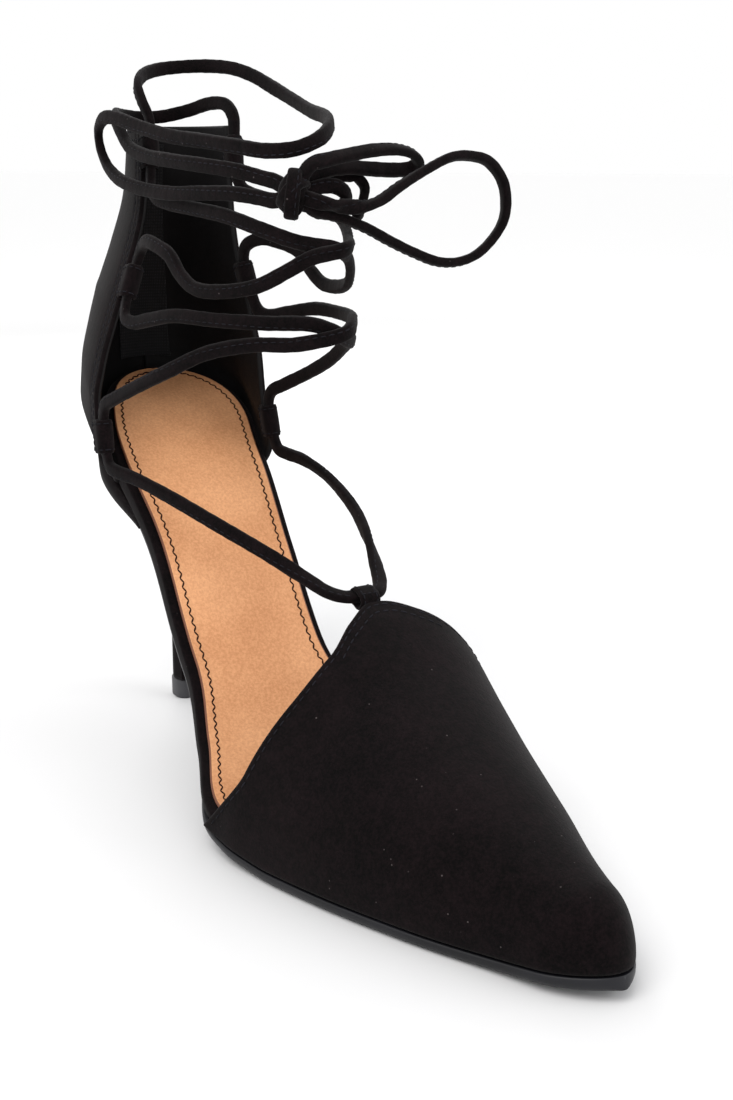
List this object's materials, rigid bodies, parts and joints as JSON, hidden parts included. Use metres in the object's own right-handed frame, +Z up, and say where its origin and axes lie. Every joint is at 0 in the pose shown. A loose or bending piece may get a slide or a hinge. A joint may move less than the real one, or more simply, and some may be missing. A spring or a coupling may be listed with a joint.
{
  "type": "lace up heel",
  "caption": "Suede stiletto court shoe for the right foot, with a pointed vamp, a tall zipped heel cuff and a lace that crosses the instep and ends in a bow at the ankle.",
  "frame": {"origin": "centre of the underside of the heel's top piece", "axes": "+X to the toe, +Y to the inner side of this right shoe, +Z up"},
  "size_m": [0.2277, 0.0937, 0.186],
  "materials": {
    "sole": "smooth painted sole edge and shank",
    "board_cover": "black suede cover of the insole board",
    "sock": "smooth tan sock lining",
    "heel_suede": "black suede over a hard heel",
    "tip": "dark grey top piece",
    "vamp_suede": "black suede",
    "cuff_suede": "black suede",
    "tape": "black woven zip tape",
    "zip_metal": "dark coated zip metal",
    "loop_suede": "folded black suede",
    "lace_suede": "narrow folded suede lace"
  },
  "bodies": {
    "shoe": {"outsole": "sole", "footbed": "board_cover", "sock_lining": "sock", "heel": "heel_suede", "heel_tip": "tip", "vamp": "vamp_suede", "heel_cuff": "cuff_suede", "zip_tape": "tape", "zip_teeth": "zip_metal", "zip_slider": "zip_metal", "vamp_loop": "loop_suede", "lace_crossings": "lace_suede", "cuff_loop_outer_low": "loop_suede", "cuff_loop_outer_mid": "loop_suede", "cuff_loop_outer_top": "loop_suede", "cuff_loop_inner_low": "loop_suede", "cuff_loop_inner_mid": "loop_suede", "cuff_loop_inner_top": "loop_suede", "lace_wrap_outer": "lace_suede", "lace_wrap_inner": "lace_suede", "bow_loop_small": "lace_suede", "bow_loop_large": "lace_suede", "lace_end_near": "lace_suede", "lace_end_far": "lace_suede", "bow_knot": "lace_suede"},
    "pull_tab": {"zip_pull_tab": "zip_metal"}
  },
  "joints": [
    {"name": "pull_tab_hinge", "type": "hinge", "parent": "shoe", "child": "pull_tab", "pos_m": [-0.02289, 0.00016, 0.16286], "axis": [0.0042, 0.9997, 0.0258], "range_deg": [0, 150]}
  ]
}
